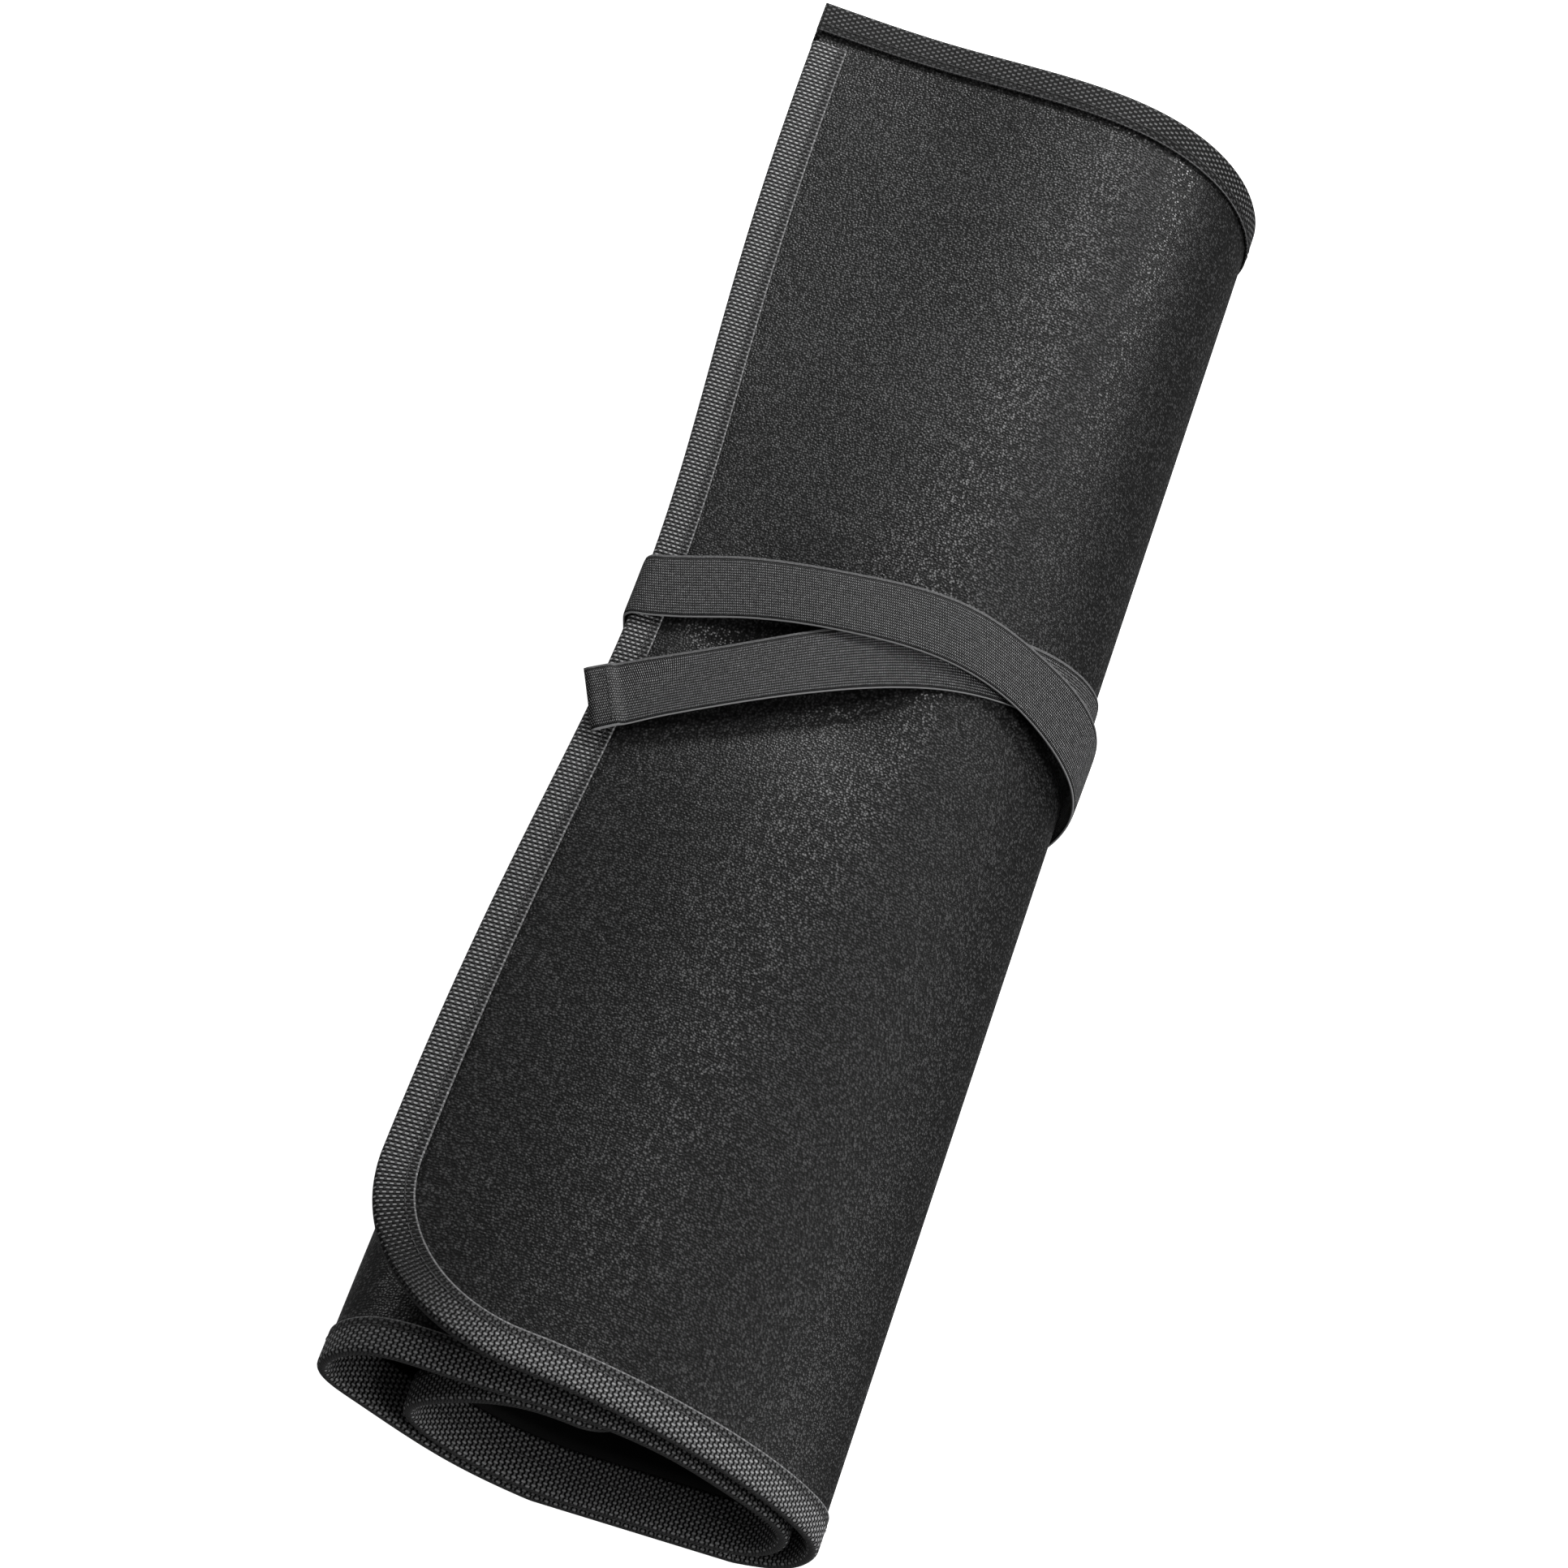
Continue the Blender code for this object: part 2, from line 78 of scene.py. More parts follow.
PLACES = (
    # place, near across, near height, far across, far height, right, up
    ("flap edge", -0.983, 0.980, -0.932, 0.985, 0, 0),
    ("flap crown", -0.385, 1.000, -0.385, 0.950, 0, 0),
    ("flap shoulder", 0.255, 0.850, 0.255, 0.955, 0, 0),
    ("flap slope", 0.665, 0.640, 0.665, 0.840, 0, 0),
    ("right fold top", 0.930, 0.410, 0.935, 0.545, 0, 0),
    ("right fold", 0.995, 0.275, 0.990, 0.320, 0, 0),
    ("right fold foot", 0.920, 0.095, 0.925, 0.095, 0, 0),
    ("floor, right", 0.700, 0.000, 0.700, 0.000, 0, 0),
    ("floor, left", -0.110, 0.000, -0.300, 0.000, 0, 0),
    ("left slope foot", -0.440, 0.110, -0.570, 0.060, 0, 0),
    ("left slope", -0.835, 0.360, -0.800, 0.290, 0, 0),
    ("left fold", -0.975, 0.510, -0.860, 0.520, 0, 0),
    ("left fold top", -0.860, 0.715, -0.780, 0.740, 0, 0),
    ("second top, left", -0.510, 0.765, -0.460, 0.840, 0, 0),
    ("second top", 0.000, 0.750, 0.000, 0.845, 0, 0),
    ("second shoulder", 0.360, 0.675, 0.400, 0.790, 0, 0),
    ("second slope", 0.690, 0.490, 0.740, 0.585, 0, 0),
    ("inner right fold", 0.875, 0.290, 0.865, 0.320, 0, 0),
    ("inner fold foot", 0.770, 0.045, 0.760, 0.045, 0, 1),
    ("inner floor, right", 0.510, 0.000, 0.510, 0.000, 0, 1),
    ("inner floor, left", 0.000, 0.000, -0.100, 0.000, 0, 1),
    ("inner slope", -0.400, 0.110, -0.450, 0.090, 0, 1),
    ("inner left fold", -0.625, 0.380, -0.640, 0.400, 0, 0),
    ("third top, left", -0.460, 0.580, -0.480, 0.680, 0, 0),
    ("third top", -0.200, 0.750, -0.220, 0.840, 0, -1),
    ("inner end", 0.260, 0.670, 0.260, 0.780, 0, -1),
)
LEFT_FOLD_TOP = [row[0] for row in PLACES].index("left fold top")


def spline(knots, rows, at):
    """Natural cubic through the rows at the knots, carried on straight past both ends."""
    steps = np.diff(knots)
    slopes = np.diff(rows, axis=0) / steps[:, None]
    n = len(knots)
    inner = np.arange(1, n - 1)
    system = np.eye(n)
    system[inner, inner - 1] = steps[:-1]
    system[inner, inner] = 2 * (steps[:-1] + steps[1:])
    system[inner, inner + 1] = steps[1:]
    bends = np.zeros_like(rows)
    bends[1:-1] = 6 * np.diff(slopes, axis=0)
    bends = np.linalg.solve(system, bends)
    inside = np.clip(at, knots[0], knots[-1])
    k = np.clip(np.searchsorted(knots, inside, side="right") - 1, 0, n - 2)
    step, past = steps[k][:, None], (inside - knots[k])[:, None]
    left, right = bends[k], bends[k + 1]
    slope = slopes[k] - step * (2 * left + right) / 6
    rise = (right - left) / (6 * step)
    value = rows[k] + past * (slope + past * (left / 2 + past * rise))
    tangent = slope + past * (left + 3 * past * rise)
    return value + tangent * (at - inside)[:, None]


def length_along(points):
    """Distance of each point from the first, along the line through them."""
    return np.concatenate([[0], np.cumsum(np.linalg.norm(np.diff(points, axis=0), axis=1))])


def turn_tables():
    """The two ends' sections sampled finely, with the distance along the middle one."""
    columns = np.array([row[1:] for row in PLACES], float).T
    near_across, near_height, far_across, far_height, right, up = columns
    ends = []
    for across, height, tall in (
        (near_across, near_height, NEAR_HEIGHT),
        (far_across, far_height, FAR_HEIGHT),
    ):
        x = across * HALF_ACROSS + right * LAYER_PITCH
        z = EDGE_THICKNESS / 2 + height * (tall - EDGE_THICKNESS) + up * LAYER_PITCH
        ends.append(np.stack([x, z], axis=1))
    rows = np.concatenate(ends, axis=1)
    knots = length_along((ends[0] + ends[1]) / 2)
    at = np.linspace(0, knots[-1], 3000)
    both = spline(knots, rows, at)
    along = length_along((both[:, :2] + both[:, 2:]) / 2)
    inner_turn = at > knots[LEFT_FOLD_TOP]
    left_fold_top = np.interp(knots[LEFT_FOLD_TOP], at, along)
    return along, both, inner_turn, left_fold_top


ALONG, ENDS, INNER_TURN, OUTER_TURN_LENGTH = turn_tables()
SHEET_LENGTH = ALONG[-1]


def smooth_step(value, low, high):
    """0 below low, 1 above high and an even S between them."""
    share = np.clip((value - low) / (high - low), 0, 1)
    return share * share * (3 - 2 * share)


def middle_surface(s, y):
    """X and Z of the sheet's middle surface: the two ends' sections mixed by y, kept off the floor,
    pulled in on the left by the strap's waist and lifted by the strap's thickness beneath it."""
    inside = np.clip(s, 0, SHEET_LENGTH)
    near_x, near_z, far_x, far_z = (np.interp(inside, ALONG, ENDS[:, k]) for k in range(4))
    share = np.clip(y / ROLL_LENGTH + 0.5, 0, 1)
    x = near_x + share * (far_x - near_x)
    z = near_z + share * (far_z - near_z)
    floor = EDGE_THICKNESS / 2 + LAYER_PITCH * np.interp(inside, ALONG, INNER_TURN)
    z = np.maximum(z, floor)
    waist = np.exp(-(((y - STRAP_AT) / WAIST_REACH) ** 2))
    x = np.where(x < 0, x * (1 - WAIST_DEPTH / HALF_ACROSS * waist), x)
    lift = STRAP_PITCH + SHEET_THICKNESS / 2 - EDGE_THICKNESS / 2
    near_strap = 1 - smooth_step(np.abs(y - STRAP_AT), 3 * STRAP_WIDTH, 6 * STRAP_WIDTH)
    return x, z + lift * near_strap


def surface(s, y, height):
    """A point that stands height off the sheet's middle surface, outwards where positive."""
    s, y, height = np.broadcast_arrays(s, y, height)
    step = SHEET_THICKNESS / 4
    inside = np.clip(s, step, SHEET_LENGTH - step)
    x0, z0 = middle_surface(inside - step, y)
    x1, z1 = middle_surface(inside + step, y)
    size = np.hypot(x1 - x0, z1 - z0)
    along_x, along_z = (x1 - x0) / size, (z1 - z0) / size
    x, z = middle_surface(s, y)
    past = s - np.clip(s, 0, SHEET_LENGTH)
    x = x + past * along_x - height * along_z
    z = z + past * along_z + height * along_x
    return np.stack([x, y, z], axis=-1)


def dent(s, y):
    """How far the flap sinks between its edge and its shoulder, where the strap bridges it."""
    slopes = smooth_step(s, DENT_START, DENT_START + DENT_SLOPE) * (
        1 - smooth_step(s, DENT_END - DENT_SLOPE, DENT_END)
    )
    return DENT_DEPTH * slopes * np.exp(-(((y - DENT_AT) / DENT_REACH) ** 2))


def stations(points, longest, most_turn):
    """Shares of a line's length, closer where it bends, from its finely sampled points."""
    lengths = length_along(points)
    heading = np.diff(points, axis=0)
    heading /= np.linalg.norm(heading, axis=1)[:, None]
    turns = np.arccos(np.clip((heading[1:] * heading[:-1]).sum(1), -1, 1))
    turned = np.concatenate([[0, 0], np.cumsum(turns)])
    effort = lengths / longest + turned / most_turn
    count = int(np.ceil(effort[-1])) + 1
    return np.interp(np.linspace(0, effort[-1], count), effort, lengths) / lengths[-1]


def rounded_drop(into, radius):
    """How far the near edge lies back: radius - sqrt(radius^2 - left^2), where left is what is left
    of the corner's arc."""
    left = radius - np.clip(into, 0, radius)
    return radius - np.sqrt(radius**2 - left**2)


def near_edge(s):
    """Y of the sheet's near edge: a straight line that rounds into both of its ends."""
    outer = rounded_drop(s, CORNER_RADIUS)
    inner = rounded_drop(SHEET_LENGTH - s, INNER_CORNER_RADIUS)
    return -MIDDLE + EDGE_THICKNESS / 2 + outer + inner


def origin_shift():
    """X from the roll's own middle to the frame's origin: half of how far the frame's sheet lies
    to the right of this one, summed over both of its sides."""
    s = np.linspace(0, SHEET_LENGTH, 4000)[:, None]
    y = np.linspace(-MIDDLE, FAR_EDGE, 60)
    raw = surface(s, y, SHEET_THICKNESS / 2)[..., 0]
    low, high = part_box("roll_sheet")
    return (low.x + high.x - raw.min() - raw.max()) / 2


SHIFT = np.array([origin_shift(), 0, 0])


def mesh_piece(name, points, faces, face_uv, finish, replaces, heading=None):
    """A closed mesh piece from points, faces and each face corner's place in the pattern. Heading
    tells for each point how far its cloth has turned from along the bag, 0, to across it, 1, and
    how much painted shade dims its threads there."""
    mesh = bpy.data.meshes.new(name)
    mesh.from_pydata((points + SHIFT).tolist(), [], faces)
    pattern = mesh.uv_layers.new(name="pattern")
    pattern.uv.foreach_set("vector", np.asarray(face_uv, np.float32).reshape(-1))
    if heading is not None:
        corners = np.concatenate([np.asarray(face) for face in faces])
        turned = np.asarray(heading, np.float32)[corners].reshape(-1)
        mesh.uv_layers.new(name="heading").uv.foreach_set("vector", turned)
    mesh.shade_smooth()
    mesh.materials.append(finish)
    made = bpy.data.objects.new(name, mesh)
    bpy.context.scene.collection.objects.link(made)
    shape = bmesh.new()
    shape.from_mesh(mesh)
    if shape.calc_volume(signed=True) < 0:
        bmesh.ops.reverse_faces(shape, faces=shape.faces)
        shape.to_mesh(mesh)
    shape.free()
    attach(made, "root")
    if replaces:
        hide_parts(replaces)
    return made


def wall(name, outer, inner, flat, finish, replaces):
    """A thin wall between two grids of points, closed round its border by a strip that joins each
    border point to the one behind it. Flat is the pattern's grid."""
    rows, columns = outer.shape[:2]
    index = np.arange(rows * columns).reshape(rows, columns)
    quads = np.stack([index[:-1, :-1], index[1:, :-1], index[1:, 1:], index[:-1, 1:]], -1)
    quads = quads.reshape(-1, 4)
    border = np.concatenate([index[0], index[1:, -1], index[-1, -2::-1], index[-2:0:-1, 0]])
    after = np.roll(border, -1)
    under = rows * columns
    sides = np.stack([border, after, after + under, border + under], axis=1)
    faces = np.concatenate([quads, quads[:, ::-1] + under, sides])
    points = np.concatenate([outer.reshape(-1, 3), inner.reshape(-1, 3)])
    place = np.concatenate([flat.reshape(-1, 2)] * 2)
    return mesh_piece(name, points, faces.tolist(), place[faces], finish, replaces)


class Value:
    """One output of a material's nodes. Arithmetic on it adds the Math node that does the sum."""

    def __init__(self, tree, socket=None):
        self.tree = tree
        self.socket = socket

    def node(self, kind, settings=(), sockets=(), output=0):
        """A node of this kind: its settings first, then values or links for its sockets."""
        made = self.tree.nodes.new("ShaderNode" + kind)
        for name, setting in dict(settings).items():
            setattr(made, name, setting)
        for name, value in dict(sockets).items():
            if isinstance(value, Value):
                self.tree.links.new(value.socket, made.inputs[name])
            else:
                made.inputs[name].default_value = value
        return Value(self.tree, made.outputs[output])

    def beside(self, output):
        """Another output of the same node."""
        return Value(self.tree, self.socket.node.outputs[output])

    def math(self, operation, *others):
        """This operation on the value itself, then on the others in turn."""
        return self.node("Math", {"operation": operation}, dict(enumerate((self, *others))))

    def __add__(self, other):
        return self.math("ADD", other)

    __radd__ = __add__

    def __sub__(self, other):
        return self.math("SUBTRACT", other)

    def __rsub__(self, other):
        return self * -1 + other

    def __mul__(self, other):
        return self.math("MULTIPLY", other)

    __rmul__ = __mul__

    def __truediv__(self, other):
        return self.math("DIVIDE", other)

    def fraction(self):
        """What is left past the whole number below."""
        return self.math("FRACT")

    def bump(self, depth):
        """The normal of a relief that is depth high in metres where this is 1."""
        return self.node("Bump", sockets={"Strength": 1, "Distance": depth, "Height": self})

    def rise(self, low, high):
        """0 below low, 1 above high and an even S between them."""
        ends = {"Value": self, "From Min": low, "From Max": high}
        return self.node("MapRange", {"interpolation_type": "SMOOTHSTEP"}, ends)

    def mix(self, low, high):
        """From the first colour to the second as this goes from 0 to 1."""
        ends = {0: self, 6: (*low, 1), 7: (*high, 1)}
        return self.node("Mix", {"data_type": "RGBA"}, ends, output=2)


def material(name, look):
    """A material whose shader's sockets are set by what look returns for its empty node tree."""
    made = bpy.data.materials.new(name)
    made.use_nodes = True
    shader = made.node_tree.nodes["Principled BSDF"]
    for socket, value in look(Value(made.node_tree)).items():
        if isinstance(value, Value):
            made.node_tree.links.new(value.socket, shader.inputs[socket])
        else:
            shader.inputs[socket].default_value = value
    return made


def pattern_place(start):
    """The pattern's vector, and its distances along and across the cloth in metres."""
    place = start.node("UVMap", {"uv_map": "pattern"})
    along = place.node("SeparateXYZ", sockets={0: place})
    return place, along, along.beside("Y")


def leather_look(start):
    """Pebbled grain: soft round cells about 1 mm apart, each a little lighter or darker than the
    next, on shallow puckers about 35 mm apart. The hollows between the cells get painted shade. A
    finer noise moves the cells' places a little. Only the cells' tops have the gloss of the coat."""
    place, _, _ = pattern_place(start)
    waver = place.node("TexNoise", sockets={"Vector": place, "Scale": 900, "Detail": 2}, output=1)
    ends = {0: 0.0007, 4: place, 5: waver}
    moved = place.node("Mix", {"data_type": "VECTOR"}, ends, output=1)
    cell = {"Vector": moved, "Scale": 1100, "Randomness": 0.85}
    from_middle = moved.node("TexVoronoi", sockets=cell)
    dome = 1 - from_middle.rise(0.08, 0.72)
    cell_tone = from_middle.beside("Color").rise(0.25, 0.75)
    depth = place.node("TexNoise", sockets={"Vector": place, "Scale": 260, "Detail": 3})
    pucker = place.node("TexNoise", sockets={"Vector": place, "Scale": 28, "Detail": 2})
    height = dome * (depth * 0.8 + 0.5) + cell_tone * 0.45 + pucker * 4
    # Painted shade: the tone falls to black in the hollows between the cells, where dome is 0.
    tone = dome * (cell_tone * 0.9 + 0.25) * (depth * 0.9 + 0.5)
    return {
        "Base Color": tone.mix((0.001, 0.001, 0.001), (0.048, 0.048, 0.049)),
        "Roughness": 0.44 + dome * -0.14,
        "Specular IOR Level": 0.27,
        "Coat Weight": tone.rise(0.35, 0.9),
        "Coat Roughness": 0.26,
        "Coat IOR": 2.0,
        "Normal": height.bump(0.00012),
    }


leather = material("leather_cloth_grain", leather_look)

SHEET_ROWS = 132


def sheet_columns(longest, most_turn, corner_steps):
    """Distances s of the sheet's columns: closer in its folds, and even round its corners."""
    at = np.linspace(CORNER_RADIUS, SHEET_LENGTH - INNER_CORNER_RADIUS, 3000)
    x, z = middle_surface(at, np.zeros_like(at))
    share = stations(np.stack([x, z], axis=1), longest, most_turn)
    arc = 1 - np.cos(np.linspace(0, np.pi / 2, corner_steps))
    between = at[0] + share * (at[-1] - at[0])
    return np.concatenate(
        [CORNER_RADIUS * arc, between[1:-1], (SHEET_LENGTH - INNER_CORNER_RADIUS * arc)[::-1]]
    )


def roll_sheet():
    """Both faces of the sheet on one grid: column s, and row y from the near edge to the far."""
    s = sheet_columns(longest=0.0034, most_turn=np.radians(7), corner_steps=22)[:, None]
    start = near_edge(s)
    y = start + np.linspace(0, 1, SHEET_ROWS) * (FAR_EDGE - start)
    half, sunk = SHEET_THICKNESS / 2, dent(s, y)
    flat = np.stack(np.broadcast_arrays(s, y), axis=-1)
    return wall(
        "rolled_leather_sheet",
        surface(s, y, half - sunk),
        surface(s, y, -half - sunk),
        flat,
        leather,
        "roll_sheet",
    )


rolled_sheet = roll_sheet()

# The pocket layer
# A thin smooth cloth sewn to the sheet's inner face for the tools' pockets. Only its edge and a
# strip of its face show, deep in the near end.
PANEL_THICKNESS = 0.0008
PANEL_START = 0.486
PANEL_END = 0.643
PANEL_COLUMNS = 90
PANEL_ROWS = 120
TAPE_INNER_LEG = 0.015
PANEL_MARGIN = EDGE_THICKNESS / 2 + TAPE_INNER_LEG + SEAT_GAP


def pocket_look(start):
    """Smooth dull cloth with a faint fine weave."""
    place, along, across = pattern_place(start)
    ribs = (along * 6500).math("SINE") * (across * 6500).math("SINE")
    tone = place.node("TexNoise", sockets={"Vector": place, "Scale": 300, "Detail": 3})
    return {
        "Base Color": tone.mix((0.002, 0.002, 0.0021), (0.007, 0.007, 0.0072)),
        "Roughness": 0.7,
        "Specular IOR Level": 0.25,
        "Normal": ribs.bump(0.00002),
    }


pocket_cloth = material("pocket_cloth_weave", pocket_look)


def pocket_panel():
    """The panel lies on the sheet's inner face between two distances s, inside the tapes."""
    s = np.linspace(PANEL_START, PANEL_END, PANEL_COLUMNS)[:, None]
    share = np.linspace(0, 1, PANEL_ROWS)
    y = -MIDDLE + PANEL_MARGIN + share * (ROLL_LENGTH - 2 * PANEL_MARGIN)
    face = -SHEET_THICKNESS / 2 - SEAT_GAP
    flat = np.stack(np.broadcast_arrays(s, y), axis=-1)
    return wall(
        "pocket_layer",
        surface(s, y, face),
        surface(s, y, face - PANEL_THICKNESS),
        flat,
        pocket_cloth,
        "pocket_panel",
    )


panel = pocket_panel()

# The edge tapes
# Coarse woven tape, folded over the sheet's edges and sewn through. One runs down the flap's free
# edge, round the corner, along the near edge and up the inner end; the other closes the far edge.
TAPE_OUTER_LEG = 0.0105
TAPE_NOSE = 0.9
WEAVE_LONG = 0.0031
WEAVE_WIDE = 0.00196
FOLD_START = 0.0121
FOLD_END = 0.0145
FOLD_BLUR = 0.0004
# Painted shade that dims the tape's painted sheen: where its threads lie askew, and over the whole
# rear tape.
ASKEW_PAINTED_SHADE = 0.6
REAR_PAINTED_SHADE = 0.68


def floats(along, across, shift, half_long, half_wide):
    """Staggered rounded oblongs, 1 - u^4 - v^4: 1 at each middle, 0 at its rim and beyond. A second
    lattice, half a step off both ways, fills the gaps of the first."""
    both = []
    for half in (0, 0.5):
        u = ((along / WEAVE_LONG + (shift + half)).fraction() - 0.5) * (WEAVE_LONG / half_long)
        v = ((across / WEAVE_WIDE + half).fraction() - 0.5) * (WEAVE_WIDE / half_wide)
        u, v = u * u, v * v
        both.append(1 - (u * u + v * v))
    return both[0].math("MAXIMUM", both[1]).math("MAXIMUM", 0)


def weave_look(start):
    """Coarse plain weave: warp threads along the tape, and weft threads across it in the gaps
    between them. The threads that lie across the bag get a painted sheen. Painted shade dims it
    where the tape lies askew or along the far edge, and darkens the tape where it runs across the
    bag. Slanted cords run along the fold, and the woven rim is lighter."""
    place, along, across = pattern_place(start)
    turned = start.node("SeparateXYZ", sockets={0: start.node("UVMap", {"uv_map": "heading"})})
    painted_shade = turned.beside("Y")
    warp = floats(along, across, 0, 0.00086, 0.00052)
    weft = floats(along, across, 0.5, 0.00044, 0.00084)
    warp_strands = (across * 22000).math("SINE") * 0.12 + 0.88
    weft_strands = (along * 22000).math("SINE") * 0.12 + 0.88
    uneven = place.node("TexNoise", sockets={"Vector": place, "Scale": 900, "Detail": 2})
    # Painted sheen: threads that lie across the bag are painted brighter than those along it.
    warp_lit, weft_lit = turned * 0.85 + 0.15, 1 - turned * 0.6
    lit = warp.rise(0.5, 1) * warp_strands * warp_lit
    lit = lit.math("MAXIMUM", weft.rise(0.5, 1) * weft_strands * weft_lit)
    hem = across.rise(0.0026, 0.0034)
    fold = across.rise(FOLD_START, FOLD_START + FOLD_BLUR)
    fold = fold * (1 - across.rise(FOLD_END - FOLD_BLUR, FOLD_END))
    braid = (along * 5200 + across * 4000).math("SINE") * 0.3 + 0.7
    selvedge = (1 - across.rise(0.0004, 0.0006)) * 0.5
    height = warp.math("SQRT") * warp_strands * 0.9
    height = height.math("MAXIMUM", weft.math("SQRT") * weft_strands)
    # Painted shade: the sheen is dimmed where the tape lies askew and along the far edge, and the
    # tape is darker where it runs across the bag.
    tone = (lit - painted_shade * 0.7).math("MAXIMUM", 0) * (uneven * 1.6 + 0.25) * (hem * 0.6 + 0.4)
    tone = (tone * (1 - turned * 0.35) + selvedge * uneven) * (1 - fold) + braid * fold * 0.13
    return {
        "Base Color": tone.mix((0.001, 0.001, 0.001), (0.72, 0.72, 0.73)),
        "Roughness": 0.5,
        "Specular IOR Level": 0.22,
        "Normal": height.bump(0.00040),
    }


woven_tape = material("woven_tape_threads", weave_look)


def tape_profile():
    """The folded tape's closed section: out past the sheet's edge, and off its middle surface. The
    outer line is a leg, a half oval past the edge and a longer leg; the inner one returns."""
    inside = SHEET_THICKNESS / 2 + SEAT_GAP
    outside = EDGE_THICKNESS / 2
    turn = np.linspace(np.pi / 2, -np.pi / 2, 13)
    nose = np.stack([TAPE_NOSE * outside * np.cos(turn), outside * np.sin(turn)], axis=1)
    leg = np.linspace(-TAPE_OUTER_LEG, 0, 12, endpoint=False)
    back = np.linspace(0, -TAPE_INNER_LEG, 15)[1:]
    outer = np.stack([leg, np.full_like(leg, outside)], axis=1)
    lower = np.stack([back, np.full_like(back, -outside)], axis=1)
    inner = np.array(
        [
            (-TAPE_INNER_LEG, -inside),
            (-TAPE_INNER_LEG / 2, -inside),
            (SEAT_GAP, -inside),
            (SEAT_GAP, inside),
            (-TAPE_OUTER_LEG / 2, inside),
            (-TAPE_OUTER_LEG, inside),
        ]
    )
    return np.concatenate([outer, nose, lower, inner])


def swept(name, rings, flat, finish, replaces, heading=None):
    """A closed profile carried along a path, one ring of points for each station."""
    count, around = rings.shape[:2]
    index = np.arange(count * around).reshape(count, around)
    beside = np.roll(index, -1, axis=1)
    quads = np.stack([index[:-1], index[1:], beside[1:], beside[:-1]], axis=-1).reshape(-1, 4)
    place = flat.reshape(-1, 2)
    faces = quads.tolist() + [index[0].tolist(), index[-1, ::-1].tolist()]
    ends = np.concatenate([index[0], index[-1, ::-1]])
    uv = np.concatenate([place[quads].reshape(-1, 2), place[ends]])
    points = rings.reshape(-1, 3)
    mesh_piece(name, points, faces, uv, finish, replaces, heading)


def taped_edge(name, s, y, out_s, out_y, replaces, least_painted_shade):
    """The profile at flat places s, y of the sheet's edge, facing out_s, out_y. Threads that lie
    askew get painted shade, by 4 turned (1 - turned), and the whole tape at least its least painted
    shade."""
    out, height = tape_profile().T
    rings = surface(
        s[:, None] + out_s[:, None] * out,
        y[:, None] + out_y[:, None] * out,
        height[None, :],
    )
    along = length_along(np.stack([s, y], axis=1))
    round_section = length_along(np.stack([out, height], axis=1))
    flat = np.stack(np.broadcast_arrays(along[:, None], round_section), axis=-1)
    turned = np.repeat(out_y**2, len(out))
    # Painted shade: most where the tape turns its corners, and at least the given amount over the
    # whole tape.
    painted_shade = np.maximum(least_painted_shade, ASKEW_PAINTED_SHADE * 4 * turned * (1 - turned))
    heading = np.stack([turned, painted_shade], axis=1)
    swept(name, rings, flat, woven_tape, replaces, heading)


def front_edge():
    """Flat places of the front tape's line: straight runs, and arcs that keep their radius."""
    stop = FAR_EDGE - TAPE_INNER_LEG - SEAT_GAP
    turn = np.linspace(0, np.pi / 2, 70)
    parts = []
    for edge_s, radius, side in ((0.0, CORNER_RADIUS, 1), (SHEET_LENGTH, INNER_CORNER_RADIUS, -1)):
        start = float(near_edge(np.array(edge_s)))
        run = np.linspace(stop, start, 330)[:-1]
        parts.append((edge_s + 0 * run, run, -side + 0 * run, 0 * run))
        s = edge_s + side * radius * (1 - np.cos(turn))
        parts.append((s, near_edge(s), -side * np.cos(turn), -np.sin(turn)))
    flap_run, flap_corner, end_run, end_corner = (np.stack(part) for part in parts)
    straight = np.linspace(CORNER_RADIUS, SHEET_LENGTH - INNER_CORNER_RADIUS, 520)[1:-1]
    along = np.stack([straight, near_edge(straight), 0 * straight, 0 * straight - 1])
    path = [flap_run, flap_corner, along, end_corner[:, ::-1], end_run[:, ::-1]]
    return np.concatenate(path, axis=1)


front_line = front_edge()
taped_edge("front_edge_tape", *front_line, "front_binding", 0)
past_edge = EDGE_THICKNESS / 2
rear_s = np.linspace(-past_edge, SHEET_LENGTH + past_edge, 560)
level = np.zeros_like(rear_s)
rear_line = np.stack([rear_s, level + FAR_EDGE, level, level + 1])
taped_edge("rear_edge_tape", *rear_line, "rear_binding", REAR_PAINTED_SHADE)

# The tapes' seams
# Charcoal polyester thread, one line of stitches through each folded tape, set in from its fold.
# Each stitch shows as a small capsule on either face of the tape.
STITCH_PITCH = 0.0034
STITCH_LENGTH = 0.0025
THREAD_RADIUS = 0.00022
SEAM_INSET = 0.0075
RING_AT = np.array([-1, -0.8, 0, 0.8, 1])
RING_SIZE = np.array([0.3, 0.9, 1, 0.9, 0.3])
RING_TURN = np.arange(6) * np.pi / 3


def thread_look(start):
    """Charcoal polyester thread, its tone a little uneven."""
    place, _, _ = pattern_place(start)
    uneven = place.node("TexNoise", sockets={"Vector": place, "Scale": 800, "Detail": 2})
    return {
        "Base Color": uneven.mix((0.02, 0.02, 0.02), (0.13, 0.13, 0.132)),
        "Roughness": 0.5,
        "Specular IOR Level": 0.3,
    }


thread = material("sewing_thread", thread_look)


